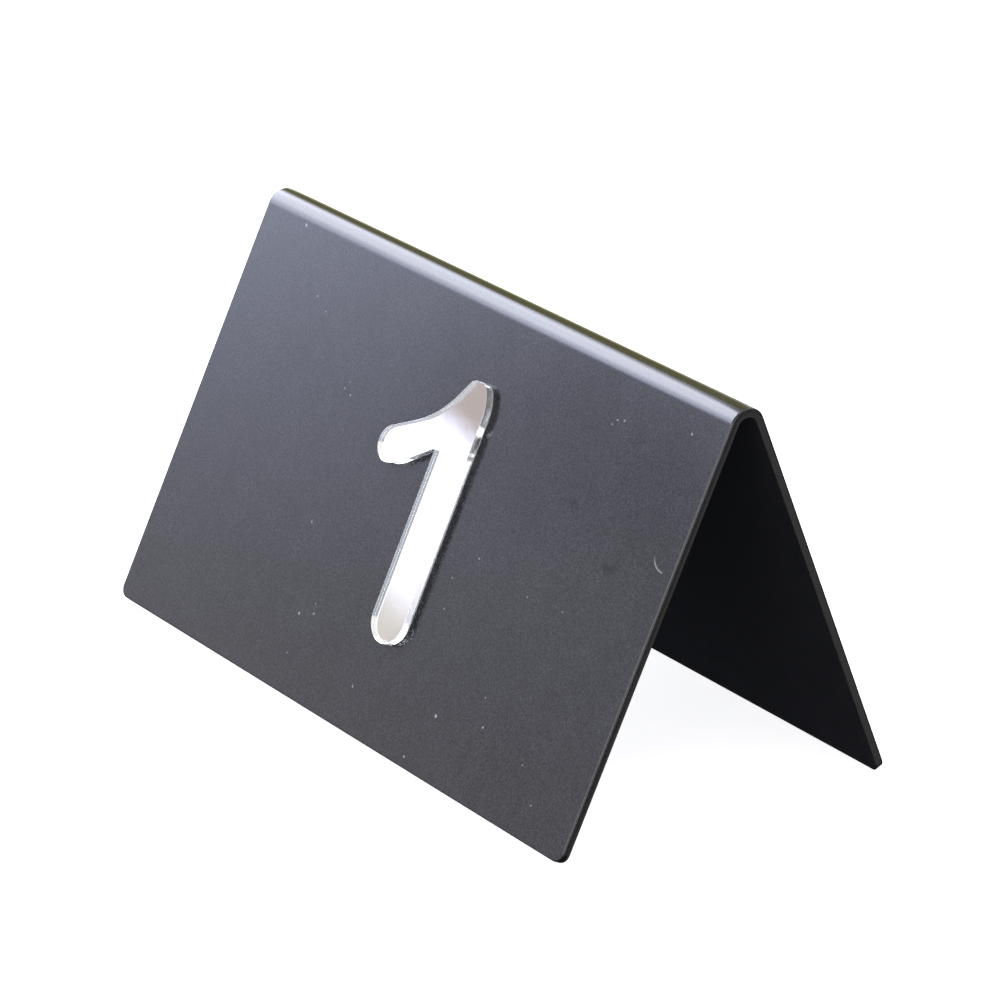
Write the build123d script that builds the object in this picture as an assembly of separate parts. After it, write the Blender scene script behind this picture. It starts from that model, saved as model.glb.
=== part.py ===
from build123d import *
from math import cos, radians, sin, tan
import os

# Table number holder: one strip of black acrylic, bent hot into a tent that stands by itself, with a
# mirrored figure 1 glued to each sloping face.
# Millimetres. X runs along the ridge, the front panel faces -Y, Z is up, and the origin is the middle
# of the footprint at table height.

# The tent sheet
SHEET_WIDTH = 170.0  # along the ridge
SHEET_THICKNESS = 2.0
PANEL_HEIGHT = 108.0  # up the outer face, from the bottom edge to where the two outer faces would meet
PANEL_LEAN = radians(24.25)  # each panel, off vertical
RIDGE_RADIUS = 4.5  # outer skin of the bend
CORNER_RADIUS = 2.5  # the four free corners of the strip
FOOT_FLAT = 0.5  # width of the flat rubbed along each edge that the tent stands on

# The layers of a mirrored numeral, from the panel outwards
NUMERAL_LAYERS = {
    "numeral_adhesive": 0.1,
    "numeral_backing_paint": 0.1,
    "numeral_mirror_film": 0.1,
    "numeral_clear_body": 1.7,
}

# The figure 1, as corners to be rounded: across from the panel's centre line, up from the panel's
# bottom edge, and the rounding radius. The lines between them are straight.
NUMERAL_CORNERS = [
    (3.85, 21.8, 5.5),  # bottom of the stem, left: with the next corner it makes a round end
    (14.9, 21.8, 5.5),  # bottom of the stem, right
    (14.55, 77.9, 10.0),  # the stem's right side turns in
    (12.2, 82.7, 3.0),  # top, right
    (7.4, 82.7, 2.6),  # top, left
    (0.65, 72.2, 26.0),  # hollow sweep from the top into the flag
    (-16.4, 63.65, 4.15),  # tip of the flag, upper: with the next corner it makes a round end
    (-13.7, 56.55, 4.15),  # tip of the flag, lower
    (-6.8, 58.5, 15.0),  # underside of the flag swells towards its tip
    (3.5, 65.5, 0.3),  # notch between the flag and the stem, as tight as the cutter turns
]

# What follows from those sizes. The strip is cut square, so it would stand on its two inner bottom
# edges; rubbing a flat of FOOT_FLAT along each takes off FOOT_DROP of height.
FOOT_DROP = FOOT_FLAT * sin(PANEL_LEAN) * cos(PANEL_LEAN)
OUTER_CORNER_Z = SHEET_THICKNESS * sin(PANEL_LEAN) - FOOT_DROP
OUTER_CORNER_Y = PANEL_HEIGHT * sin(PANEL_LEAN)
OUTER_PEAK_Z = OUTER_CORNER_Z + PANEL_HEIGHT * cos(PANEL_LEAN)
INNER_CORNER_Y = OUTER_CORNER_Y - SHEET_THICKNESS * cos(PANEL_LEAN)
FOOT_CENTRE_Y = INNER_CORNER_Y + FOOT_DROP * (1 / tan(PANEL_LEAN) - tan(PANEL_LEAN)) / 2


def tent_sheet():
    """The strip in one piece: two flat panels and the round ridge between them."""
    inner_peak_z = OUTER_PEAK_Z - SHEET_THICKNESS / sin(PANEL_LEAN)
    section_corners = [
        (-OUTER_CORNER_Y, OUTER_CORNER_Z),
        (0, OUTER_PEAK_Z),
        (OUTER_CORNER_Y, OUTER_CORNER_Z),
        (INNER_CORNER_Y, -FOOT_DROP),
        (0, inner_peak_z),
        (-INNER_CORNER_Y, -FOOT_DROP),
    ]
    section = make_face(Polyline(*section_corners, close=True))
    section = fillet(section.vertices().sort_by(Axis.Y)[-1], RIDGE_RADIUS)
    inner_peak = section.vertices().sort_by_distance((0, inner_peak_z))[0]
    section = fillet(inner_peak, RIDGE_RADIUS - SHEET_THICKNESS)
    sheet = extrude(Plane.YZ * section, SHEET_WIDTH / 2, both=True)
    free_corners = sheet.edges().filter_by(lambda edge: abs(edge.length - SHEET_THICKNESS) < 0.01)
    sheet = fillet(free_corners, CORNER_RADIUS)
    below_table = Box(
        2 * SHEET_WIDTH, 4 * OUTER_CORNER_Y, PANEL_HEIGHT, align=(Align.CENTER, Align.CENTER, Align.MAX)
    )
    return sheet - below_table


def numeral_face():
    """The figure 1 as a flat face: X across the panel, Y up it from the bottom edge."""
    points = [(across, up) for across, up, radius in NUMERAL_CORNERS]
    radii = [radius for across, up, radius in NUMERAL_CORNERS]
    return make_face(FilletPolyline(*points, radius=radii, close=True))


def panel_plane(facing):
    """Plane on a panel's outer face, from the middle of its bottom edge; facing is 1 front, -1 rear."""
    return Plane(
        origin=(0, -facing * OUTER_CORNER_Y, OUTER_CORNER_Z),
        x_dir=(facing, 0, 0),
        z_dir=(0, -facing * cos(PANEL_LEAN), sin(PANEL_LEAN)),
    )


def numeral_pieces(side, facing):
    """Every layer of one numeral, stacked outwards from its panel, by node name."""
    pieces = {}
    height = 0.0
    for name, thickness in NUMERAL_LAYERS.items():
        layer = extrude(Pos(0, 0, height) * numeral_face(), thickness)
        pieces[f"{side}_{name}"] = panel_plane(facing) * layer
        height += thickness
    return pieces


nodes = {"tent_sheet": tent_sheet()}
nodes.update(numeral_pieces("front", 1))
nodes.update(numeral_pieces("rear", -1))

os.makedirs("parts", exist_ok=True)
for node, shape in nodes.items():
    export_step(shape, f"parts/{node}.step")
    box = shape.bounding_box()
    print(node, "volume", round(shape.volume, 1), "from", box.min, "to", box.max)
print("openings under the ridge: inner faces meet at z", OUTER_PEAK_Z - SHEET_THICKNESS / sin(PANEL_LEAN))
print("foot flats centred at y", FOOT_CENTRE_Y, "and at minus that")
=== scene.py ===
# %% [markdown]
# # A tent-shaped table number
#
# The real thing is one strip of black acrylic, warmed along its middle and folded into a tent. A
# figure 1 cut from mirrored acrylic is glued to each sloping face. Everything about it is sheet
# work, so everything here is a sheet too: a flat outline, an edge profile carried round it, and for
# the tent a rule that rolls the flat strip round its ridge.
#
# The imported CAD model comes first. It fixes the frame: metres, X along the ridge, Z up, the front
# panel facing -Y, and the table at z = 0.

# %% Load the frame
from math import atan2, cos, pi, radians, sin, tan

import bpy
import numpy as np
from mathutils import Matrix, Vector


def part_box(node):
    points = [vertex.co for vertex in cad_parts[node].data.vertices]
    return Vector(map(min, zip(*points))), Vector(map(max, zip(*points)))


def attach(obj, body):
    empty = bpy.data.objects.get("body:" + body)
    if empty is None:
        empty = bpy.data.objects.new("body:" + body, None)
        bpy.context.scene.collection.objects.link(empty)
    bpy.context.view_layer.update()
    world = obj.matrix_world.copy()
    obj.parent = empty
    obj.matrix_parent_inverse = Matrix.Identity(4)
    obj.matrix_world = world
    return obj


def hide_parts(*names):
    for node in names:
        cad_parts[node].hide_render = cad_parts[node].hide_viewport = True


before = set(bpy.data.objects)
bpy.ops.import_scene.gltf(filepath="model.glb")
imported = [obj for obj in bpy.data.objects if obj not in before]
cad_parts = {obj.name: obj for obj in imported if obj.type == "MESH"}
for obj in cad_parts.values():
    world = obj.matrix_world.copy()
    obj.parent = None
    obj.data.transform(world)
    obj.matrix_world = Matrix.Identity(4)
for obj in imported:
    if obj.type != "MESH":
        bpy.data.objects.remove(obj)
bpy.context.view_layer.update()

MM = 0.001

# %% [markdown]
# ## Sizes
#
# A sheet-metal worker would call these the bend data. The width of the strip and the spread of its
# feet are read from the frame; the gauge, the lean and the bend radius are restated because they
# say how the strip is rolled. The length of the flat strip follows: two straight runs and the arc
# of the bend, measured along the middle of the thickness, where heat neither stretches nor
# squeezes the sheet.

# %% Bend data
GAUGE = 2.0 * MM
LEAN = radians(24.25)
RIDGE_RADIUS = 4.5 * MM
CORNER_RADIUS = 2.5 * MM

sheet_low, sheet_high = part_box("tent_sheet")
STRIP_WIDTH = sheet_high.x - sheet_low.x
PANEL_HEIGHT = sheet_high.y / sin(LEAN)
MIDDLE_RADIUS = RIDGE_RADIUS - GAUGE / 2
BEND_ANGLE = pi - 2 * LEAN
HALF_ARC = MIDDLE_RADIUS * BEND_ANGLE / 2
STRAIGHT_RUN = PANEL_HEIGHT - RIDGE_RADIUS / tan(LEAN)
HALF_STRIP = HALF_ARC + STRAIGHT_RUN
RIDGE_CENTRE_Z = sheet_high.z - RIDGE_RADIUS
print("flat strip", round(STRIP_WIDTH / MM, 1), "by", round(2 * HALF_STRIP / MM, 1), "mm")


# %% [markdown]
# ## From arrays to a mesh
#
# Each surface below is worked out as whole numpy arrays: points, the direction each point faces,
# and quads that join rows of points. The facing directions are known exactly from the formulas, so
# they are given to the mesh as its normals. A large flat face then shades dead flat right up to a
# tiny rounded edge, which averaged normals would smear.

# %% Array helpers
def strip_quads(first, second, closed=True):
    """Quads between two rows of vertex numbers: each pair of neighbours in one row joined to the
    same pair in the other. A closed row also joins its end to its start."""
    if closed:
        first = np.append(first, first[0])
        second = np.append(second, second[0])
    return np.column_stack([first[:-1], first[1:], second[1:], second[:-1]])


def unit(vectors):
    """Every row divided by its length."""
    return vectors / np.linalg.norm(vectors, axis=-1, keepdims=True)


def make_piece(name, points, normals, faces, attributes):
    """One mesh object from arrays. faces is a list of vertex-number lists; normals has one facing
    direction for each point; attributes maps a name to one number for each point."""
    mesh = bpy.data.meshes.new(name)
    mesh.from_pydata(points.tolist(), [], faces)
    for attribute, values in attributes.items():
        layer = mesh.attributes.new(attribute, "FLOAT", "POINT")
        layer.data.foreach_set("value", np.asarray(values, dtype=np.float32))
    mesh.polygons.foreach_set("use_smooth", np.ones(len(mesh.polygons), dtype=bool))
    mesh.normals_split_custom_set_from_vertices(unit(normals).tolist())
    mesh.update()
    piece = bpy.data.objects.new(name, mesh)
    bpy.context.scene.collection.objects.link(piece)
    print(name, len(points), "points", len(faces), "faces")
    return piece


# %% [markdown]
# ## An edge profile
#
# A cut edge is never a knife edge. The wall stands square to the sheet, and each arris, the line
# where wall meets face, is eased by a tiny radius. That radius catches the light as a thin bright
# line, and it is most of what makes plastic sheet look thick. The profile is the same for the tent
# and for the numerals, so it is made once: steps of how far in, how high, and which way it faces.

# %% Edge profile
def edge_profile(thickness, arris, back_arris, arris_steps=4, wall_steps=4):
    """Steps from the top face round the edge to the bottom face. Returns inset from the outline,
    height from the top face's level down to minus thickness, and the facing as (outward, up).
    Each arris is a quarter circle: inset = r * (1 - sin a), depth = r * (1 - cos a). The top
    arris may differ from point to point of the outline; insets and heights then have a column
    for each point."""
    arris = np.atleast_1d(arris)
    a = np.linspace(0, pi / 2, arris_steps + 1)
    inset, depth = (1 - np.sin(a))[:, None], (1 - np.cos(a))[:, None]
    wall = np.linspace(arris, thickness - back_arris, wall_steps + 1)[1:-1]
    back = back_arris + 0 * arris
    insets = np.concatenate([arris * inset, 0 * wall, back * inset[::-1]])
    heights = -np.concatenate([arris * depth, wall, thickness - back * depth[::-1]])
    flat = np.zeros(len(wall))
    outward = np.concatenate([np.sin(a), flat + 1, np.sin(a)[::-1]])
    up = np.concatenate([np.cos(a), flat, -np.cos(a)[::-1]])
    return insets, heights, outward, up


# %% [markdown]
# ## The tent sheet
#
# The strip is first laid out flat: rows across it, closer together where it will bend, and an
# outline with rounded corners. Then one rule rolls it: a point's distance along the strip says
# where it is on the straight runs or on the arc, and its height above the middle of the sheet
# pushes it out along the local facing direction. The two edges that stand on the table are rubbed
# flat by lifting anything that would pass below it.
#
# Hot sheet does one more thing. Its outer skin stretches round the bend and so draws in along the
# ridge, which leaves the last few millimetres at each end of the ridge slightly sunk. The rule
# includes that, and it shows as a small hook at each end of the highlight.

# %% Roll the strip round the ridge
END_SINK = 0.16 * MM
END_SINK_REACH = 3.0 * MM


HEAT_SPREAD = 0.6 * MM


def area_to(along):
    """Area under the clipped distance: half its square on the arc, straight beyond it."""
    inside = np.minimum(np.abs(along), HALF_ARC)
    return inside**2 / 2 + HALF_ARC * (np.abs(along) - inside)


def roll(flat, height):
    """Flat strip points (across, along) and heights above the middle of the sheet, in space.
    On the arc the angle is along / radius; beyond it the point runs on along the tangent. Returns
    the points, the tangent along the strip and the facing direction."""
    across, along = flat[..., 0], flat[..., 1]
    angle = np.clip(along, -HALF_ARC, HALF_ARC) / MIDDLE_RADIUS
    run = along - np.clip(along, -HALF_ARC, HALF_ARC)
    zero = np.zeros_like(across)
    spoke = np.stack([zero, np.sin(angle), np.cos(angle)], axis=-1)
    tangent = np.stack([zero, np.cos(angle), -np.sin(angle)], axis=-1)
    from_end = STRIP_WIDTH / 2 - np.abs(across)
    crest = np.cos(np.clip(angle, -BEND_ANGLE / 2, BEND_ANGLE / 2) * pi / BEND_ANGLE) ** 2
    sink = END_SINK * np.exp(-from_end / END_SINK_REACH) * crest
    radius = MIDDLE_RADIUS + height - sink
    points = radius[..., None] * spoke + run[..., None] * tangent
    points = points + np.stack([across, zero, zero + RIDGE_CENTRE_Z], axis=-1)
    slope = sink / END_SINK_REACH * np.sign(across)
    eased = (area_to(along + HEAT_SPREAD) - area_to(along - HEAT_SPREAD)) / (2 * HEAT_SPREAD)
    eased = eased / MIDDLE_RADIUS
    facing = unit(np.stack([slope, np.sin(eased), np.cos(eased)], axis=-1))
    points[..., 2] = np.maximum(points[..., 2], 0)
    return points, tangent, facing


# %% The strip laid flat
CORNER_STEPS = 10
RUN_ROWS = 26
BEND_ROWS = 56
COLUMNS = 60


def rows_of_strip():
    """Distance along the strip of every straight or bent row, and how far each is from the front
    end to the rear one: 0 on the front panel, 1 on the rear one and in between over the bend."""
    straight = HALF_STRIP - CORNER_RADIUS
    turning = HALF_ARC + HEAT_SPREAD * np.linspace(1.5, 0, 7)
    run = np.append(np.linspace(straight, turning[0], RUN_ROWS)[1:], turning[1:])
    bend = np.linspace(HALF_ARC, -HALF_ARC, BEND_ROWS + 1)[1:]
    along = np.concatenate([run, bend, -run[::-1][1:]])
    share = np.clip((HALF_ARC - along) / (2 * HALF_ARC), 0, 1)
    return along, share * share * (3 - 2 * share)


def strip_grid(front, rear):
    """Rows of points (across, along) over the rounded rectangle, drawn in from the outline by
    front at the front panel and by rear at the rear one. The rows in a corner follow its arc: the
    half-width there is side - r + r * sin(a)."""
    a = np.linspace(0, pi / 2, CORNER_STEPS + 1)
    ends = []
    for inset in (front, rear):
        r = CORNER_RADIUS - inset
        far = HALF_STRIP - inset - r + r * np.cos(a)
        ends.append((far, STRIP_WIDTH / 2 - inset - r + r * np.sin(a)))
    middle, share = rows_of_strip()
    half_middle = STRIP_WIDTH / 2 - front - (rear - front) * share
    along = np.concatenate([ends[0][0], middle, -ends[1][0][::-1]])
    half = np.concatenate([ends[0][1], half_middle, ends[1][1][::-1]])
    across = half[:, None] * np.linspace(-1, 1, COLUMNS + 1)[None, :]
    return np.stack([across, np.broadcast_to(-along[:, None], across.shape)], axis=-1)


def border(grid):
    """The outline of a grid of rows, once round: front row, right side, rear row, left side."""
    return np.concatenate([grid[0, :-1], grid[:-1, -1], grid[-1, :0:-1], grid[:0:-1, 0]])


ARRIS_FRONT, ARRIS_REAR, ARRIS_BACK = 0.4 * MM, 0.15 * MM, 0.12 * MM


def make_tent(name):
    """Outer face, edge and inner face as one closed skin."""
    share = rows_of_strip()[1]
    corner = np.ones(CORNER_STEPS + 1)
    arris_rows = ARRIS_FRONT + (ARRIS_REAR - ARRIS_FRONT) * np.concatenate(
        [0 * corner, share, corner]
    )
    arris = border(np.repeat(arris_rows[:, None], COLUMNS + 1, axis=1))
    ends = edge_profile(GAUGE, np.array([ARRIS_FRONT, ARRIS_REAR]), ARRIS_BACK, 6, 8)[0]
    _, height, outward, up = edge_profile(GAUGE, arris, ARRIS_BACK, 6, 8)
    face, back = strip_grid(ARRIS_FRONT, ARRIS_REAR), strip_grid(ARRIS_BACK, ARRIS_BACK)
    rows, columns = face.shape[:2]
    numbers = np.arange(rows * columns).reshape(rows, columns)
    out_of_edge = unit(border(strip_grid(0, 0)) - border(back))
    points, normals, loops = [], [], []
    outer, _, outer_facing = roll(face, np.full(face.shape[:2], GAUGE / 2))
    inner, _, inner_facing = roll(back, np.full(back.shape[:2], -GAUGE / 2))
    points += [outer.reshape(-1, 3), inner.reshape(-1, 3)]
    normals += [outer_facing.reshape(-1, 3), -inner_facing.reshape(-1, 3)]
    depth = [np.zeros(rows * columns), np.ones(rows * columns)]
    wall = [np.zeros(rows * columns), np.zeros(rows * columns)]
    loops.append(border(numbers))
    count = 2 * rows * columns
    for step in range(1, len(height) - 1):
        flat = border(strip_grid(*ends[step]))
        placed, tangent, facing = roll(flat, GAUGE / 2 + height[step])
        sideways = out_of_edge[:, :1] * np.array([1.0, 0, 0]) + out_of_edge[:, 1:] * tangent
        points.append(placed)
        normals.append(outward[step] * sideways + up[step] * facing)
        depth.append(-height[step] / GAUGE)
        wall.append(np.full(len(flat), outward[step]))
        loops.append(np.arange(count, count + len(flat)))
        count += len(flat)
    loops.append(border(numbers) + rows * columns)
    faces = []
    for row in range(rows - 1):
        quads = strip_quads(numbers[row], numbers[row + 1], closed=False)
        faces += quads.tolist()
        faces += (quads[:, ::-1] + rows * columns).tolist()
    for above, below in zip(loops[:-1], loops[1:]):
        faces += strip_quads(below, above).tolist()
    points = np.concatenate(points)
    normals = np.concatenate(normals)
    values = {"depth": np.concatenate(depth), "wall": np.concatenate(wall)}
    return make_piece(name, points, normals, faces, values)


tent = make_tent("black_tent_sheet")
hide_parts("tent_sheet")
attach(tent, "root")

# %% [markdown]
# ## The figure 1
#
# The numeral was drawn as straight lines, then every corner was rounded until it looked right. The
# list says the same thing: corners measured across from the centre line and up from the panel's
# bottom edge, each with its rounding radius. An outline made of lines and arcs has an exact facing
# direction everywhere, which is what keeps the polished wall clean.

# %% Round the corners of an outline
NUMERAL_CORNERS = [
    (3.85, 21.8, 5.5),
    (14.9, 21.8, 5.5),
    (14.55, 77.9, 10.0),
    (12.2, 82.7, 3.0),
    (7.4, 82.7, 2.6),
    (0.65, 72.2, 26.0),
    (-16.4, 63.65, 4.15),
    (-13.7, 56.55, 4.15),
    (-6.8, 58.5, 15.0),
    (3.5, 65.5, 0.3),
]


def rounded_outline(corners, step=radians(4)):
    """Points and outward directions along a counter-clockwise polygon whose corners are arcs. The
    arc's centre stands off both sides by its radius: centre = corner + bisector * r / sin(half
    angle). Its ends touch the sides at r / tan(half angle) from the corner."""
    places, outwards = [], []
    for index, (x, y, r) in enumerate(corners):
        corner = np.array([x, y])
        back = unit(np.array(corners[index - 1][:2]) - corner)
        ahead = unit(np.array(corners[(index + 1) % len(corners)][:2]) - corner)
        half = np.arccos(np.clip(back @ ahead, -1, 1)) / 2
        centre = corner + unit(back + ahead) * r / sin(half)
        start = corner + back * r / tan(half) - centre
        end = corner + ahead * r / tan(half) - centre
        first = atan2(start[1], start[0])
        turn = (atan2(end[1], end[0]) - first + pi) % (2 * pi) - pi
        steps = max(2, int(np.ceil(abs(turn) / step)))
        a = first + turn * np.linspace(0, 1, steps + 1)
        spokes = np.column_stack([np.cos(a), np.sin(a)])
        places.append(centre + r * spokes)
        outwards.append(spokes * np.sign(turn))
    return np.concatenate(places) * MM, np.concatenate(outwards)


outline, outline_facing = rounded_outline(NUMERAL_CORNERS)
print("numeral outline", len(outline), "points, height", round(np.ptp(outline[:, 1]) / MM, 1), "mm")

# %% [markdown]
# ## Four layers
#
# Mirrored acrylic is clear sheet with a film of aluminium on its back and a coat of paint to
# protect it; adhesive holds the lot to the panel. The clear layer does the work. Light enters it,
# turns at the film and leaves by the front or by the polished wall, and that is where the double
# line round the numeral comes from. Nothing has to be drawn: the layers only have to be there, with
# the film in true contact with the clear body.

# %% Stack the layers on a panel
LAYERS = {
    "numeral_adhesive": (0.0, 0.1, 0.12),
    "numeral_backing_paint": (0.1, 0.2, 0.03),
    "numeral_mirror_film": (0.2, 0.3, 0.02),
    "numeral_clear_body": (0.29, 2.0, 0.0),
}


def on_panel(facing, across, up, height):
    """Points on a panel in space. facing is 1 for the front panel and -1 for the rear one; the
    panel is read from its own side, so across turns over with it."""
    slope = np.array([0, facing * sin(LEAN), cos(LEAN)])
    outward = np.array([0, -facing * cos(LEAN), sin(LEAN)])
    origin = np.array([0, -facing * sheet_high.y, PANEL_FOOT_Z])
    sideways = np.array([facing, 0, 0])
    return (
        origin
        + across[:, None] * sideways
        + up[:, None] * slope
        + height[:, None] * outward
    ), (sideways, slope, outward)


def make_layer(name, facing, low, high, inset, arris):
    """One flat layer of the numeral: caps and a wall whose arrises have the given radius."""
    steps_in, drop, outward, upward = edge_profile(high - low, arris, arris, 3, 4)
    steps_in, drop = steps_in[:, 0], drop[:, 0]
    count = len(outline)
    points, normals, depth = [], [], []
    for k in range(len(steps_in)):
        flat = outline - outline_facing * (inset + steps_in[k])
        placed, (sideways, slope, out) = on_panel(
            facing, flat[:, 0], flat[:, 1], np.full(count, high + drop[k])
        )
        side = outline_facing[:, :1] * sideways + outline_facing[:, 1:] * slope
        points.append(placed)
        normals.append(outward[k] * side + upward[k] * out)
        depth.append(np.full(count, -drop[k] / (high - low)))
    loops = [np.arange(count) + count * k for k in range(len(steps_in))]
    faces = []
    for above, below in zip(loops[:-1], loops[1:]):
        faces += strip_quads(below, above).tolist()
    faces = [loops[0].tolist(), loops[-1][::-1].tolist()] + faces
    values = {"depth": np.concatenate(depth)}
    return make_piece(name, np.concatenate(points), np.concatenate(normals), faces, values)


FOOT_FLAT = 0.5 * MM
PANEL_FOOT_Z = (GAUGE - FOOT_FLAT * cos(LEAN)) * sin(LEAN)
numeral_pieces = {}
for side, facing in (("front", 1), ("rear", -1)):
    for layer, (low, high, inset) in LAYERS.items():
        arris = 0.09 * MM if layer == "numeral_clear_body" else 0.01 * MM
        piece = make_layer(
            side + "_made_" + layer, facing, low * MM, high * MM, inset * MM, arris
        )
        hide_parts(side + "_" + layer)
        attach(piece, "root")
        numeral_pieces[side + "_" + layer] = piece
        made = np.array([v.co for v in piece.data.vertices])
        node_low, node_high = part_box(side + "_" + layer)
        print("  inside its CAD node by", np.round((made.min(0) - node_low) / MM, 3))

# %% [markdown]
# ## Writing materials
#
# A shader is a small calculation at every point of a surface. The helper below lets it be written
# as one: each call adds a node, joins its inputs, and hands back its output for the next call.

# %% A shader writer
class Graph:
    """Adds nodes to a tree. Values may be numbers, tuples or outputs of other nodes."""

    def __init__(self, tree):
        self.tree = tree
        tree.nodes.clear()

    def node(self, kind, settings=None, out=0, **inputs):
        """One node. settings are its own options; inputs are named with underscores for spaces,
        or in0, in1, in2 where sockets are only told apart by order."""
        made = self.tree.nodes.new(kind)
        for name, value in (settings or {}).items():
            setattr(made, name, value)
        for name, value in inputs.items():
            key = int(name[2:]) if name[:2] == "in" and name[2:].isdigit() else name.replace("_", " ")
            socket = made.inputs[key]
            if isinstance(value, bpy.types.NodeSocket):
                self.tree.links.new(value, socket)
            else:
                socket.default_value = value
        return made.outputs[out] if len(made.outputs) else made

    def math(self, operation, first, second=0.0, third=0.0):
        settings = {"operation": operation}
        return self.node("ShaderNodeMath", settings, in0=first, in1=second, in2=third)

    def vector(self, operation, first, second=(0, 0, 0), out=0):
        settings = {"operation": operation}
        return self.node("ShaderNodeVectorMath", settings, out=out, in0=first, in1=second)

    def step(self, value, low, high):
        """0 below low, 1 above high, and smooth between; low may be the larger."""
        settings = {"interpolation_type": "SMOOTHSTEP"}
        return self.node(
            "ShaderNodeMapRange", settings, Value=value, From_Min=low, From_Max=high
        )

    def blend(self, factor, first, second):
        """first where factor is 0, second where it is 1, as colours."""
        settings = {"data_type": "RGBA"}
        return self.node("ShaderNodeMix", settings, out=2, in0=factor, in6=first, in7=second)

    def noise(self, position, scale, detail=2.0, roughness=0.5):
        return self.node(
            "ShaderNodeTexNoise", None, Vector=position, Scale=scale, Detail=detail,
            Roughness=roughness,
        )


def shared_group(name, inputs, outputs, build):
    """A node group with named inputs and outputs. build gets the graph and the input sockets and
    returns one value for each output."""
    tree = bpy.data.node_groups.new(name, "ShaderNodeTree")
    for label, kind, value in inputs:
        socket = tree.interface.new_socket(label, in_out="INPUT", socket_type=kind)
        if value is not None:
            socket.default_value = value
    for label, kind in outputs:
        tree.interface.new_socket(label, in_out="OUTPUT", socket_type=kind)
    graph = Graph(tree)
    entry = tree.nodes.new("NodeGroupInput")
    leave = tree.nodes.new("NodeGroupOutput")
    results = build(graph, [entry.outputs[label] for label, _, _ in inputs])
    for (label, _), value in zip(outputs, results):
        tree.links.new(value, leave.inputs[label])
    return tree


def use_group(graph, group, out, **inputs):
    made = graph.tree.nodes.new("ShaderNodeGroup")
    made.node_tree = group
    for name, value in inputs.items():
        socket = made.inputs[name.replace("_", " ")]
        if isinstance(value, bpy.types.NodeSocket):
            graph.tree.links.new(value, socket)
        else:
            socket.default_value = value
    return [made.outputs[label] for label in out]


FLOAT, VECTOR, COLOUR = "NodeSocketFloat", "NodeSocketVector", "NodeSocketColor"


# %% [markdown]
# ## Dust
#
# Black gloss shows every speck. Cell noise scatters one point in each little cube of space; a speck
# is the part of the cell nearer that point than a radius of its own, and most cells are left out.
# The same group serves the black sheet and the clear numeral, each with its own size and amount.

# %% The dust group
def build_dust(g, sockets):
    position, spacing, radius, amount = sockets
    scaled = g.vector("SCALE", position)
    g.tree.links.new(g.math("DIVIDE", 1.0, spacing), scaled.node.inputs["Scale"])
    bent = g.vector("MULTIPLY_ADD", g.noise(position, 900.0, 1.0), (0.14, 0.14, 0.14))
    g.tree.links.new(scaled, bent.node.inputs[2])
    cell = g.node("ShaderNodeTexVoronoi", {"feature": "F1"}, Vector=bent, Scale=1.0)
    colour = g.node("ShaderNodeSeparateColor", None, Color=cell.node.outputs["Color"])
    chance, size = colour, colour.node.outputs[1]
    own_radius = g.math("MULTIPLY", g.math("MULTIPLY_ADD", g.math("POWER", size, 3.0), 1.2, 0.35), radius)
    distance = g.math("MULTIPLY", cell, spacing)
    speck = g.node(
        "ShaderNodeMapRange", {"interpolation_type": "SMOOTHSTEP"}, Value=distance,
        From_Min=own_radius, From_Max=0.0,
    )
    kept = g.math("LESS_THAN", chance, amount)
    return [g.math("MULTIPLY", speck, kept)]


dust_group = shared_group(
    "Dust specks",
    [
        ("Position", VECTOR, None),
        ("Spacing", FLOAT, 0.008),
        ("Radius", FLOAT, 0.0002),
        ("Amount", FLOAT, 0.4),
    ],
    [("Mask", FLOAT)],
    build_dust,
)


# %% [markdown]
# ## Satin grain
#
# The sheet isn't quite a mirror. Rolling left it a very fine orange peel, and handling left broad
# patches that are a little duller. Both are noise, at two scales: the fine one tilts the surface
# through a bump, the broad one only changes how sharp reflections are.

# %% The grain group
def build_grain(g, sockets):
    position, size = sockets
    fine = g.noise(position, g.math("DIVIDE", 1.0, size), 3.0, 0.6)
    smear_place = g.vector("MULTIPLY", position, (1.0, 0.6, 0.6))
    smear = g.noise(smear_place, 34.0, 4.0, 0.55)
    return [fine, g.step(smear, 0.35, 0.7)]


grain_group = shared_group(
    "Satin grain",
    [("Position", VECTOR, None), ("Size", FLOAT, 0.0004)],
    [("Height", FLOAT), ("Smear", FLOAT)],
    build_grain,
)


# %% [markdown]
# ## Marks with a place of their own
#
# A few specks, two faint smudges and one curl of lint are plain to see on the front panel, so they
# get real places, measured across from the centre line and down from the ridge. The shader first
# turns the point in space into those two numbers: across is X, and down is the distance along the
# slope. A speck is then a distance, and the curl of lint is a thin band along a bowed line.

# %% Placed marks
SPECKS = [
    (33.0, 94.3, 0.55), (-21.7, 90.2, 0.45), (-17.0, 88.5, 0.4), (-17.6, 86.4, 0.3),
    (-68.7, 11.3, 0.5), (48.2, 91.2, 0.42), (54.5, 19.2, 0.4), (52.5, 19.8, 0.36),
    (51.4, 21.0, 0.28), (27.7, 59.8, 0.36), (75.0, 15.5, 0.36), (-55.8, 24.7, 0.36),
    (-51.0, 27.0, 0.3), (-29.0, 70.7, 0.32), (21.8, 66.2, 0.34), (23.0, 73.0, 0.3),
    (-32.3, 41.3, 0.34), (-35.0, 40.5, 0.32), (-34.0, 38.8, 0.26), (45.5, 85.3, 0.32),
    (63.7, 93.8, 0.3), (-20.7, 99.3, 0.3), (70.7, 100.3, 0.32), (4.2, 98.2, 0.36),
    (46.3, 62.0, 0.32), (58.2, 61.2, 0.3), (28.2, 105.6, 0.4),
]


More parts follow.
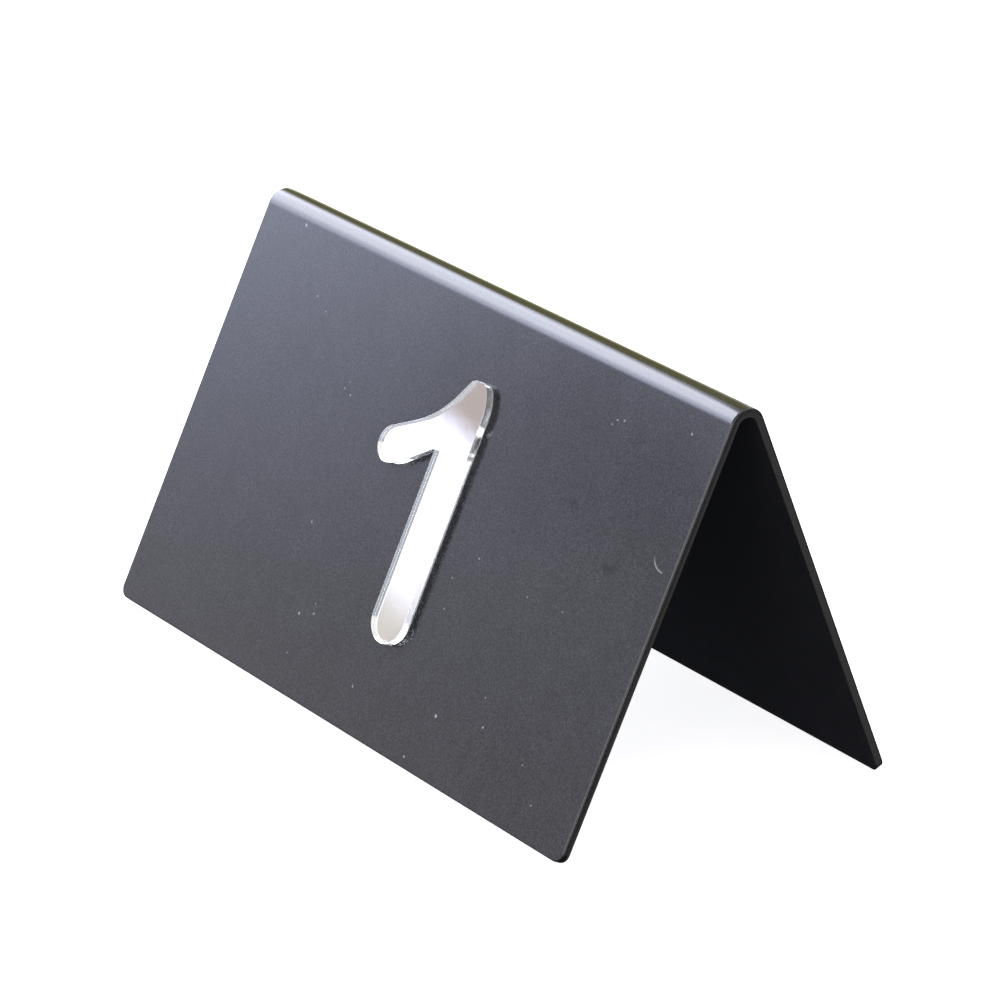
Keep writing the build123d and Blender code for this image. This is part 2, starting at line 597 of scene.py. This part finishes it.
def placed_marks(g, position):
    """White marks, dark smudges and a mask for the front panel's outer face."""
    x, y, z = separate(g, position)
    slope = (0.0, sin(LEAN), cos(LEAN))
    foot = (0.0, -sheet_high.y, PANEL_FOOT_Z)
    up = g.vector("DOT_PRODUCT", g.vector("SUBTRACT", position, foot), slope, out=1)
    down = g.math("SUBTRACT", PANEL_HEIGHT, up)
    flat = g.node("ShaderNodeCombineXYZ", None, X=x, Y=down, Z=0.0)
    wobble = g.vector("MULTIPLY_ADD", g.noise(position, 1500.0, 1.0), (0.0004, 0.0004, 0.0))
    wobble.node.inputs[2].default_value = (-0.0002, -0.0002, 0.0)
    flat = g.vector("ADD", flat, wobble)
    white = 0.0
    for across, below, size in SPECKS:
        away = g.vector("DISTANCE", flat, (across * MM, below * MM, 0.0), out=1)
        speck = g.step(away, size * MM, size * MM * 0.2)
        white = g.math("MAXIMUM", white, g.math("MULTIPLY", speck, min(1.0, size / 0.5)))
    # The curl of lint runs from one end to the other, bowed to one side.
    start, end = np.array([77.8, 41.3]) * MM, np.array([81.9, 44.0]) * MM
    length = float(np.linalg.norm(end - start))
    along_way = tuple((end - start) / length) + (0.0,)
    side_way = (-along_way[1], along_way[0], 0.0)
    from_start = g.vector("SUBTRACT", flat, (start[0], start[1], 0.0))
    along = g.math("DIVIDE", g.vector("DOT_PRODUCT", from_start, along_way, out=1), length)
    aside = g.vector("DOT_PRODUCT", from_start, side_way, out=1)
    bow = g.math("MULTIPLY", g.math("MULTIPLY", along, g.math("SUBTRACT", 1.0, along)), -0.0034)
    off = g.math("ABSOLUTE", g.math("ADD", aside, bow))
    thread = g.math("MULTIPLY", g.step(off, 0.00028, 0.00006), g.step(along, -0.05, 0.35))
    thread = g.math("MULTIPLY", thread, g.step(along, 1.02, 0.95))
    white = g.math("MAXIMUM", white, g.math("MULTIPLY", thread, 0.6))
    dark = 0.0
    broken = g.step(g.noise(position, 700.0, 2.0), 0.30, 0.62)
    for across, below, wide, strength in ((48.8, 39.8, 3.0, 0.5), (66.3, 48.5, 3.2, 0.9),
                                          (-39.6, 9.4, 0.9, 1.0)):
        from_mark = g.vector("SUBTRACT", flat, (across * MM, below * MM, 0.0))
        squashed = g.vector("MULTIPLY", from_mark, (1.0, 1.7, 0.0))
        away = g.vector("LENGTH", squashed, out=1)
        mark = g.math("MULTIPLY", g.step(away, wide * MM, 0.0), strength)
        dark = g.math("MAXIMUM", dark, g.math("MULTIPLY", mark, broken))
    front = g.math("LESS_THAN", y, 0.0)
    return g.math("MULTIPLY", white, front), g.math("MULTIPLY", dark, front)


def separate(g, vector):
    made = g.node("ShaderNodeSeparateXYZ", None, Vector=vector).node
    return made.outputs[0], made.outputs[1], made.outputs[2]


# %% [markdown]
# ## Black acrylic
#
# Almost all that is seen of black gloss plastic is its reflection: the body colour is about one
# per cent. So the care goes into the gloss, which has the refractive index of acrylic and a slight
# haze. The cut edge is another surface on the same piece. Where the cutter went in, the outer
# quarter of the thickness is polished and dark; below it the wall is drawn by fine lines across the
# thickness and is rougher. Its colour there is also painted a shade lighter. That is partly the
# striated zone's own tone and partly a painted reflection, standing in for the brighter light that
# the band reflects. The depth stored on the mesh says which part is which.

# %% The black sheet's material
def new_material(name):
    material = bpy.data.materials.new(name)
    material.use_nodes = True
    graph = Graph(material.node_tree)
    coords = graph.node("ShaderNodeTexCoord", None, out=3)
    return material, graph, coords


def finish_material(graph, settings, **inputs):
    """Principled shader joined to the output."""
    shader = graph.node("ShaderNodeBsdfPrincipled", None, **inputs)
    for name, value in settings.items():
        shader.node.inputs[name].default_value = value
    graph.node("ShaderNodeOutputMaterial", None, Surface=shader)


def attribute(graph, name):
    return graph.node("ShaderNodeAttribute", {"attribute_name": name}, out=2)


black, g, position = new_material("Black acrylic")
depth = attribute(g, "depth")
wall = g.math("GREATER_THAN", attribute(g, "wall"), 0.6)
outer = g.math("LESS_THAN", depth, 0.02)
specks, = use_group(g, dust_group, ["Mask"], Position=position, Spacing=0.009, Radius=0.00022,
                    Amount=0.35)
fine_specks, = use_group(g, dust_group, ["Mask"], Position=position, Spacing=0.0032,
                         Radius=0.00012, Amount=0.3)
grain, smear = use_group(g, grain_group, ["Height", "Smear"], Position=position, Size=0.00045)
white_marks, dark_marks = placed_marks(g, position)
white_marks = g.math("MULTIPLY", g.math("MULTIPLY", white_marks, outer), 0.42)
dust = g.math("MAXIMUM", g.math("MULTIPLY", specks, 0.2), g.math("MULTIPLY", fine_specks, 0.07))
dust = g.math("MAXIMUM", dust, white_marks)
x, y, z = separate(g, position)
line_place = g.node("ShaderNodeCombineXYZ", None, X=g.math("MULTIPLY", depth, 0.35),
                    Y=g.math("MULTIPLY", z, 4200.0), Z=g.math("MULTIPLY", x, 4200.0))
lines = g.noise(line_place, 1.0, 2.0)
rear = g.step(y, -0.01, 0.01)
bare_from = g.math("MULTIPLY_ADD", rear, -0.36, 0.50)
bare = g.math("SUBTRACT", depth, bare_from)
lower = g.math("MULTIPLY", g.step(bare, 0.0, 0.12), wall)
lower = g.math("MULTIPLY", lower, g.step(depth, 0.98, 0.9))
film = g.math("MULTIPLY_ADD", g.step(grain, 0.34, 0.66), 0.017, 0.007)
mottle = g.noise(position, 150.0, 2.0)
film = g.math("MULTIPLY", film, g.math("MULTIPLY_ADD", mottle, 0.5, 0.75))
film = g.math("MULTIPLY", film, g.math("MULTIPLY_ADD", dark_marks, -0.8, 1.0))
film_colour = g.node("ShaderNodeCombineColor", None, Red=film, Green=film,
                     Blue=g.math("MULTIPLY", film, 1.15))
body = g.blend(dust, film_colour, (0.55, 0.56, 0.58, 1))
# Painted reflection: the lower band of the cut edge gets a lighter base colour, growing lighter deeper into
# the wall. It is partly the striated zone's own tone and partly painted in for the brighter light that the
# band reflects.
edge_tone_and_painted_reflection = g.math("MULTIPLY_ADD", lines, 0.024, 0.014)
grow = g.math("MAXIMUM", rear, g.step(depth, 0.40, 0.80))
edge_tone_and_painted_reflection = g.math("MULTIPLY", edge_tone_and_painted_reflection, g.math("MULTIPLY_ADD", grow, 0.8, 0.2))
edge_colour_and_painted_reflection = g.node("ShaderNodeCombineColor", None, Red=edge_tone_and_painted_reflection, Green=edge_tone_and_painted_reflection,
                     Blue=edge_tone_and_painted_reflection)
body = g.blend(lower, body, edge_colour_and_painted_reflection)
roughness = g.math("MULTIPLY_ADD", smear, 0.02, 0.142)
roughness = g.math("MULTIPLY_ADD", dark_marks, -0.05, roughness)
roughness = g.math("MULTIPLY_ADD", lower, 0.18, roughness)
roughness = g.math("MAXIMUM", roughness, g.math("MULTIPLY", dust, 0.8))
height = g.math("MULTIPLY_ADD", lines, lower, g.math("MULTIPLY", grain, 0.5))
bump = g.node("ShaderNodeBump", None, Strength=0.09, Distance=0.00005, Height=height)
finish_material(g, {"IOR": 1.49}, Base_Color=body, Roughness=roughness, Normal=bump)
tent.data.materials.append(black)

# %% [markdown]
# ## The numeral's materials
#
# The clear body is a plain refracting solid: full transmission and the index of acrylic. Its wall
# was flame polished, which leaves gentle ripples. The film is a metal with a trace of ripple of its
# own, because thin mirrored sheet is never perfectly flat. Paint and adhesive are only ever glimpsed
# at the very edge.

# %% Clear, mirror, paint and adhesive
clear, g, position = new_material("Clear acrylic")
depth = attribute(g, "depth")
on_wall = g.math("MULTIPLY", g.math("GREATER_THAN", depth, 0.03), g.math("LESS_THAN", depth, 0.97))
grain, smear = use_group(g, grain_group, ["Height", "Smear"], Position=position, Size=0.0016)
bump = g.node("ShaderNodeBump", None, Strength=g.math("MULTIPLY", on_wall, 0.04),
              Distance=0.00006, Height=grain)
specks, = use_group(g, dust_group, ["Mask"], Position=position, Spacing=0.003, Radius=0.00014,
                    Amount=0.25)
roughness = g.math("MAXIMUM", g.math("MULTIPLY", on_wall, 0.1), g.math("MULTIPLY", specks, 0.35))
finish_material(
    g, {"IOR": 1.49, "Transmission Weight": 1.0, "Base Color": (1, 1, 1, 1)},
    Roughness=roughness, Normal=bump,
)

mirror, g, position = new_material("Mirror film")
grain, smear = use_group(g, grain_group, ["Height", "Smear"], Position=position, Size=0.012)
bump = g.node("ShaderNodeBump", None, Strength=0.05, Distance=0.00004, Height=grain)
finish_material(
    g, {"Metallic": 1.0, "Base Color": (0.93, 0.93, 0.925, 1)}, Roughness=0.0, Normal=bump
)

paint, g, position = new_material("Backing paint")
grain, smear = use_group(g, grain_group, ["Height", "Smear"], Position=position, Size=0.0003)
tone = g.math("MULTIPLY_ADD", grain, 0.08, 0.80)
colour = g.node("ShaderNodeCombineColor", None, Red=tone, Green=tone, Blue=tone)
finish_material(g, {"IOR": 1.5}, Base_Color=colour, Roughness=0.5)

glue, g, position = new_material("Adhesive")
grain, smear = use_group(g, grain_group, ["Height", "Smear"], Position=position, Size=0.0003)
colour = g.blend(grain, (0.68, 0.68, 0.71, 1), (0.76, 0.76, 0.79, 1))
finish_material(g, {"IOR": 1.47}, Base_Color=colour, Roughness=0.45)

numeral_materials = {
    "numeral_adhesive": glue,
    "numeral_backing_paint": paint,
    "numeral_mirror_film": mirror,
    "numeral_clear_body": clear,
}
for name, piece in numeral_pieces.items():
    piece.data.materials.append(numeral_materials[name.split("_", 1)[1]])

# %% [markdown]
# ## The room
#
# Black gloss and mirror have no look of their own, so the room is half of the picture. It is built
# as a sky, as a function of compass direction and height above the horizon, both in degrees. There
# is one very large soft light to the left, whose reflection fills the bend of the ridge and fades
# down the panel; pale walls all round; something olive far to the left that tints the back of the
# ridge; and a dim lower half. Compass direction is 0 straight in front of the front panel and grows
# towards +X.

# %% Sky
world = bpy.data.worlds.new("Soft studio")
bpy.context.scene.world = world
world.use_nodes = True
g = Graph(world.node_tree)
direction = g.node("ShaderNodeTexCoord", None, out=0)
x, y, z = separate(g, direction)
degrees_per_radian = 180 / pi
compass = g.math("MULTIPLY", g.math("ARCTAN2", x, g.math("MULTIPLY", y, -1.0)), degrees_per_radian)
height = g.math("MULTIPLY", g.math("ARCSINE", z), degrees_per_radian)

deep = (0.022, 0.024, 0.030, 1)
low_wall = (0.24, 0.225, 0.21, 1)
sky = g.blend(g.step(height, -38.0, -22.0), deep, low_wall)
table = g.math("MULTIPLY", g.step(compass, -62.0, -45.0), g.step(compass, 78.0, 60.0))
table = g.math("MULTIPLY", table, g.step(height, -36.0, -27.0))
sky = g.blend(table, sky, (0.62, 0.64, 0.67, 1))
pale = (1.04, 1.02, 1.0, 1)
back = g.math("MAXIMUM", g.step(compass, 112.0, 125.0), g.step(compass, -140.0, -152.0))
back_tone = g.blend(g.step(height, 2.0, 36.0), (0.60, 0.59, 0.60, 1), (1.60, 1.61, 1.67, 1))
pale = g.blend(back, pale, back_tone)
sky = g.blend(g.step(height, -6.0, 4.0), sky, pale)
olive = g.math("MULTIPLY", g.step(compass, -107.0, -113.0), g.step(compass, -138.0, -131.5))
olive = g.math("MULTIPLY", olive, g.step(height, -14.0, -8.0))
olive = g.math("MULTIPLY", olive, g.step(height, 60.0, 42.0))
olive_tone = g.blend(g.step(height, 7.5, 12.5), (1.0, 0.95, 0.55, 1), (0.25, 0.25, 0.06, 1))
olive_tone = g.blend(g.step(height, 18.0, 26.0), olive_tone, (0.58, 0.52, 0.10, 1))
sky = g.blend(olive, sky, olive_tone)

# The big light: dim and brownish low down, brighter and bluish above, and tilted a little.
tilt = g.math("MINIMUM", g.math("MAXIMUM", g.math("ADD", compass, 50.0), -6.0), 3.0)
tilted = g.math("MULTIPLY_ADD", tilt, -0.8, height)
tilted = g.math("MINIMUM", g.math("DIVIDE", tilted, 45.0), 1.0)
fall = g.node("ShaderNodeValToRGB", None, Fac=tilted)
stops = fall.node.color_ramp.elements
ramp = [
    (3.0, (0.50, 0.49, 0.50)), (6.0, (0.98, 0.97, 1.03)), (8.5, (1.47, 1.48, 1.74)),
    (11.0, (1.82, 1.92, 2.5)), (13.0, (2.75, 2.95, 3.85)), (15.0, (4.4, 4.7, 6.1)),
    (18.0, (6.0, 6.35, 8.0)), (23.0, (6.8, 7.2, 8.8)), (28.0, (7.9, 8.3, 9.9)),
    (35.0, (10.2, 10.7, 12.5)), (45.0, (9.9, 10.2, 11.7)),
]
while len(stops) < len(ramp):
    stops.new(0.5)
for stop, (place, colour) in zip(stops, ramp):
    stop.position = place / 45.0
    stop.color = colour + (1,)
# Along the path that the ridge reflects, the light is a little brighter on the higher side.
steep = g.math("MULTIPLY_ADD", g.math("ADD", compass, 57.0), -1.88, 26.0)
level = g.math("MULTIPLY_ADD", g.math("ADD", compass, 57.0), -0.72, 26.0)
flat = g.math("MULTIPLY_ADD", g.math("ADD", compass, 75.0), -0.13, 39.0)
path = g.math("MINIMUM", g.math("MINIMUM", steep, level), flat)
above = g.math("SUBTRACT", height, path)
above = g.math("MINIMUM", g.math("MAXIMUM", above, -1.6), 3.5)
above = g.math("MULTIPLY", above, g.step(height, 9.0, 12.0))
lift = g.math("MULTIPLY_ADD", above, 0.033, 1.0)
fall = g.node("ShaderNodeVectorMath", {"operation": "SCALE"}, in0=fall, in3=lift)
top_line = g.math("MULTIPLY_ADD", g.math("ADD", compass, 98.0), -0.3, height)
end_line = g.math("MULTIPLY_ADD", g.math("SUBTRACT", height, 36.0), -0.35, compass)
light = g.math("MULTIPLY", g.step(top_line, 43.8, 41.7), g.step(end_line, -115.2, -98.5))
light = g.math("MULTIPLY", light, g.step(compass, -39.0, -45.0))
light = g.math("MULTIPLY", light, g.step(height, 0.0, 6.0))
sky = g.blend(light, sky, fall)
low_band = g.math("MULTIPLY", g.step(height, 7.9, 6.7), g.step(height, 3.0, 5.0))
low_band = g.math("MULTIPLY", low_band, g.math("MULTIPLY", g.step(compass, -70.0, -55.0), g.step(compass, -30.0, -40.0)))
sky = g.blend(low_band, sky, (1.3, 1.28, 1.35, 1))
front = g.math("MULTIPLY", g.step(compass, -40.0, -32.0), g.step(compass, 46.0, 34.0))
front = g.math("MULTIPLY", front, g.math("MULTIPLY", g.step(height, 2.0, 20.0), g.step(height, 32.0, 22.0)))
sky = g.blend(front, sky, (3.9, 3.95, 4.3, 1))
right_patch = g.math("MULTIPLY", g.step(compass, 40.0, 46.0), g.step(compass, 66.0, 58.0))
right_patch = g.math("MULTIPLY", right_patch, g.step(height, 30.0, 20.0))
right_patch = g.math("MULTIPLY", right_patch, g.step(height, -2.0, 4.0))
sky = g.blend(right_patch, sky, (0.38, 0.41, 0.45, 1))
low_right = g.math("MULTIPLY", g.step(compass, 60.0, 68.0), g.step(compass, 112.0, 100.0))
low_right = g.math("MULTIPLY", low_right, g.step(height, -17.0, -10.0))
low_right = g.math("MULTIPLY", low_right, g.step(height, 14.0, 6.0))
sky = g.blend(low_right, sky, (2.9, 2.9, 3.0, 1))
# A brown shape whose lower edge shows in the top of the mirror, and a smaller one below it at the
# mirror's foot. Both are darker further right, where only the black panel sees them.
patch_sides = g.math("MULTIPLY", g.step(compass, -50.7, -50.1), g.step(compass, -38.0, -43.0))
top_patch = g.math("MULTIPLY", g.step(height, 10.05, 10.75), g.step(height, 14.0, 12.9))
top_tone = g.blend(g.step(compass, -49.7, -49.2), (0.516, 0.448, 0.436, 1), (0.34, 0.30, 0.32, 1))
sky = g.blend(g.math("MULTIPLY", patch_sides, top_patch), sky, top_tone)
foot_patch = g.math("MULTIPLY", g.step(height, 8.88, 7.93), g.step(height, 6.9, 7.3))
foot_tone = g.blend(g.step(compass, -48.9, -48.3), (0.71, 0.672, 0.63, 1), (0.30, 0.28, 0.28, 1))
sky = g.blend(g.math("MULTIPLY", patch_sides, foot_patch), sky, foot_tone)
seen = g.node("ShaderNodeLightPath", None, out=0)
sky = g.blend(seen, sky, (1, 1, 1, 1))
background = g.node("ShaderNodeBackground", None, Color=sky, Strength=1.0)
g.node("ShaderNodeOutputWorld", None, Surface=background)

# %% [markdown]
# ## Floor and camera
#
# The table is a plain white surface that glows a little, so that the shadow under the tent stays
# faint, and it keeps out of reflections. The camera is a long lens about a metre away, high enough
# to look down on the ridge.

# %% Floor
floor_mesh = bpy.data.meshes.new("floor")
reach = 4.0
floor_mesh.from_pydata(
    [(-reach, -reach, 0), (reach, -reach, 0), (reach, reach, 0), (-reach, reach, 0)], [],
    [(0, 1, 2, 3)],
)
floor = bpy.data.objects.new("floor", floor_mesh)
bpy.context.scene.collection.objects.link(floor)
floor.visible_glossy = False
floor.visible_diffuse = False
floor.visible_transmission = False
table_top, g, position = new_material("Table top")
finish_material(
    g,
    {
        "Base Color": (0.8, 0.8, 0.8, 1), "Emission Color": (1, 1, 1, 1),
        "Emission Strength": 0.78, "Specular IOR Level": 0.0,
    },
    Roughness=1.0,
)
floor_mesh.materials.append(table_top)

# %% Camera
compass, height, roll_angle = radians(52.897), radians(21.641), radians(1.980)
back = Vector((sin(compass) * cos(height), -cos(compass) * cos(height), sin(height)))
level = Vector((cos(compass), sin(compass), 0))
top = back.cross(level)
right = level * cos(roll_angle) + top * sin(roll_angle)
up = top * cos(roll_angle) - level * sin(roll_angle)
aim = Vector((2.306, -0.289, 44.478)) * MM
place = aim + back * 1042.398 * MM
camera_data = bpy.data.cameras.new("camera")
camera_data.lens = 169.783
camera_data.sensor_width = 36.0
camera_data.dof.use_dof = False
camera = bpy.data.objects.new("camera", camera_data)
camera.matrix_world = Matrix(
    (
        (right.x, up.x, back.x, place.x),
        (right.y, up.y, back.y, place.y),
        (right.z, up.z, back.z, place.z),
        (0, 0, 0, 1),
    )
)
bpy.context.scene.collection.objects.link(camera)
bpy.context.scene.camera = camera
bpy.context.scene.view_settings.view_transform = "Standard"
# Light that enters the numeral by its wall runs along inside it, between the film and the front.
bpy.context.scene.cycles.max_bounces = 40
bpy.context.scene.cycles.transmission_bounces = 40
bpy.context.scene.cycles.glossy_bounces = 40
print("camera at", [round(v, 4) for v in place])
